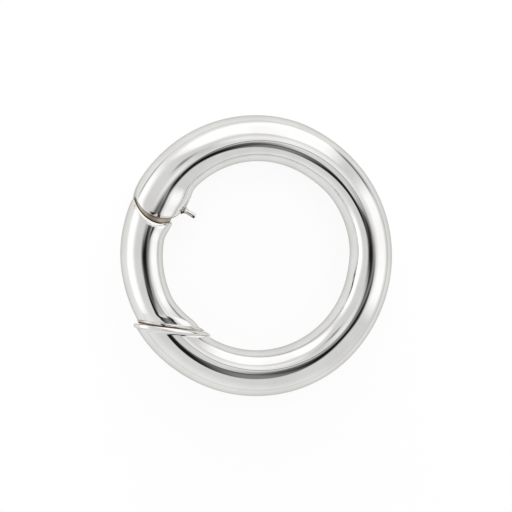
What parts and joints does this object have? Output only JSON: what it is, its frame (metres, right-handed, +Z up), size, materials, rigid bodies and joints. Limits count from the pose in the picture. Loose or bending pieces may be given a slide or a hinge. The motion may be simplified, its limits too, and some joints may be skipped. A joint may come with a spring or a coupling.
{
  "type": "triggerless ring clasp",
  "caption": "Round hollow tube clasp ring with a sprung curved gate: pushed inwards at its slanted mouth to take a jump ring or chain end, closed again by itself.",
  "frame": {"origin": "Centre of the ring, on the surface that it lies on.", "axes": "+Z up through the ring's hole, along the hinge pin. X and Y in the plane of the ring: the gate is on the -X side, its hinge at 149.5 degrees and its mouth at 217 degrees from +X."},
  "size_m": [0.0179, 0.018, 0.0031],
  "materials": {
    "polished_silver": "mirror polished silver with faint hairlines and a thin warm tint inside the seams",
    "pin_silver": "drawn silver wire, hidden in the knuckle",
    "leaf_silver": "polished silver, a little softer than the tube, darker in the hollow of the flared foot"
  },
  "bodies": {
    "ring": {"ring_body": "polished_silver", "hinge_pin": "pin_silver", "peg_leaf": "leaf_silver"},
    "swing_gate": {"gate": "polished_silver"}
  },
  "joints": [
    {"name": "gate_hinge", "type": "hinge", "parent": "ring", "child": "swing_gate", "pos_m": [-0.00633, 0.00373, 0.00157], "axis": [0, 0, 1], "range_deg": [0, 35], "stiffness_Nm_per_rad": 0.01}
  ]
}
